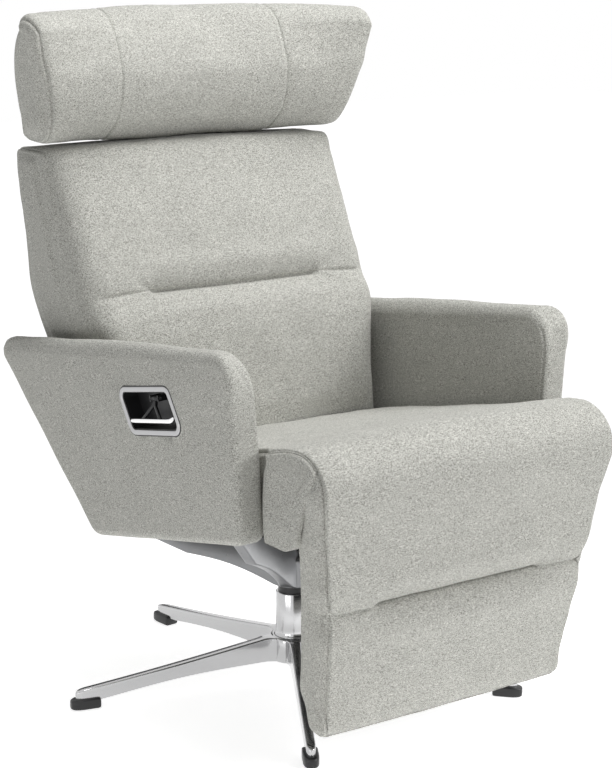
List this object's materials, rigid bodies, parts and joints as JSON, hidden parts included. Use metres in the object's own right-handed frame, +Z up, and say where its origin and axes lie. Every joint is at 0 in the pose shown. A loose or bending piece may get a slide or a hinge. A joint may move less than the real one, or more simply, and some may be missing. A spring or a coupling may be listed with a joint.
{
  "type": "star base swivel recliner",
  "caption": "Upholstered recliner on a polished star base: swivels, reclines with a linked leg rest, and has a winged headrest that slides and tilts.",
  "frame": {"origin": "on the swivel axis, at floor level", "axes": "+Z up, -Y towards the front of the chair, +X towards the left hand of the sitter"},
  "size_m": [0.7144, 0.828, 1.0663],
  "materials": {
    "polished_aluminium": "polished",
    "cast_aluminium": "fine cast",
    "black_plastic": "fine grain",
    "black_steel": "satin powder coat",
    "bright_steel": "zinc plated",
    "chrome": "polished",
    "satin_trim": "satin",
    "black_cloth": "woven",
    "plywood": "raw",
    "wool": "mixed grey woven wool over foam"
  },
  "bodies": {
    "base": {"base_star": "polished_aluminium", "foot_pad_1": "black_plastic", "foot_pad_2": "black_plastic", "foot_pad_3": "black_plastic", "foot_pad_4": "black_plastic", "foot_pad_5": "black_plastic", "column_tube": "polished_aluminium", "lower_bush": "black_plastic", "swivel_ring": "black_plastic"},
    "seat": {"spindle": "bright_steel", "retaining_washer": "bright_steel", "retaining_screw": "bright_steel", "seat_carrier": "cast_aluminium", "carrier_bolts": "bright_steel", "front_crossbar": "black_steel", "rear_crossbar": "black_steel", "seat_webbing": "black_cloth", "seat_cushion": "wool", "arm_bolts": "bright_steel", "back_pins": "bright_steel", "legrest_pins": "bright_steel", "lever_cup": "black_plastic", "lever_bezel": "satin_trim", "lever_pin": "bright_steel", "gas_clevis": "black_steel", "seat_rail_left": "black_steel", "seat_rail_right": "black_steel", "back_bracket_left": "black_steel", "back_bracket_right": "black_steel", "legrest_bracket_left": "black_steel", "legrest_bracket_right": "black_steel", "arm_board_left": "plywood", "arm_board_right": "plywood", "arm_pad_left": "wool", "arm_pad_right": "wool"},
    "back": {"back_board": "plywood", "back_cushion": "wool", "back_cover": "wool", "back_studs": "bright_steel", "back_clevis": "black_steel", "headrest_guide": "black_plastic", "back_lug_left": "black_steel", "back_lug_right": "black_steel"},
    "headrest_slide": {"headrest_slider": "black_steel", "headrest_pin": "bright_steel"},
    "headrest": {"headrest_core": "black_steel", "headrest_pillow": "wool"},
    "legrest": {"legrest_board": "black_cloth", "legrest_pad": "wool", "legrest_studs": "bright_steel", "legrest_lug_left": "black_steel", "legrest_lug_right": "black_steel"},
    "links": {"link_rod_left": "black_steel", "link_rod_right": "black_steel"},
    "gas_cylinder": {"gas_cylinder": "black_steel"},
    "gas_rod": {"gas_rod": "chrome"},
    "lever": {"release_lever": "chrome"}
  },
  "joints": [
    {"name": "seat_swivel", "type": "hinge", "parent": "base", "child": "seat", "pos_m": [0, 0, 0.16], "axis": [0, 0, 1], "continuous": true},
    {"name": "back_recline", "type": "hinge", "parent": "seat", "child": "back", "pos_m": [0, 0.112, 0.372], "axis": [-1, 0, 0], "range_deg": [0, 38]},
    {"name": "legrest_swing", "type": "hinge", "parent": "seat", "child": "legrest", "pos_m": [0, -0.415, 0.44], "axis": [-1, 0, 0], "range_deg": [0, 76]},
    {"name": "headrest_height", "type": "slide", "parent": "back", "child": "headrest_slide", "axis": [0, 0.2974, 0.9548], "range_m": [0, 0.06]},
    {"name": "headrest_tilt", "type": "hinge", "parent": "headrest_slide", "child": "headrest", "pos_m": [0, 0.322, 0.893], "axis": [1, 0, 0], "range_deg": [0, 25]},
    {"name": "link_swing", "type": "hinge", "parent": "back", "child": "links", "pos_m": [0, 0.13284, 0.31149], "axis": [-1, 0, 0], "range_deg": [-38, 0]},
    {"name": "gas_cylinder_swing", "type": "hinge", "parent": "seat", "child": "gas_cylinder", "pos_m": [0, -0.215, 0.322], "axis": [-1, 0, 0], "range_deg": [0, 0.442]},
    {"name": "gas_rod_slide", "type": "slide", "parent": "gas_cylinder", "child": "gas_rod", "axis": [0, -0.9987, 0.0516], "range_m": [0, 0.04554]},
    {"name": "lever_pull", "type": "hinge", "parent": "seat", "child": "lever", "pos_m": [-0.30234, -0.08437, 0.52076], "axis": [-0.0122, 0.9833, -0.1817], "range_deg": [0, 22], "stiffness_Nm_per_rad": 0.4}
  ],
  "couplings": [
    {"joint": "legrest_swing", "follows": "back_recline", "ratio": 2},
    {"joint": "link_swing", "follows": "back_recline", "ratio": -1},
    {"joint": "gas_cylinder_swing", "follows": "back_recline", "ratio": 0.01163},
    {"joint": "gas_rod_slide", "follows": "back_recline", "m_per_rad": 0.068658}
  ]
}
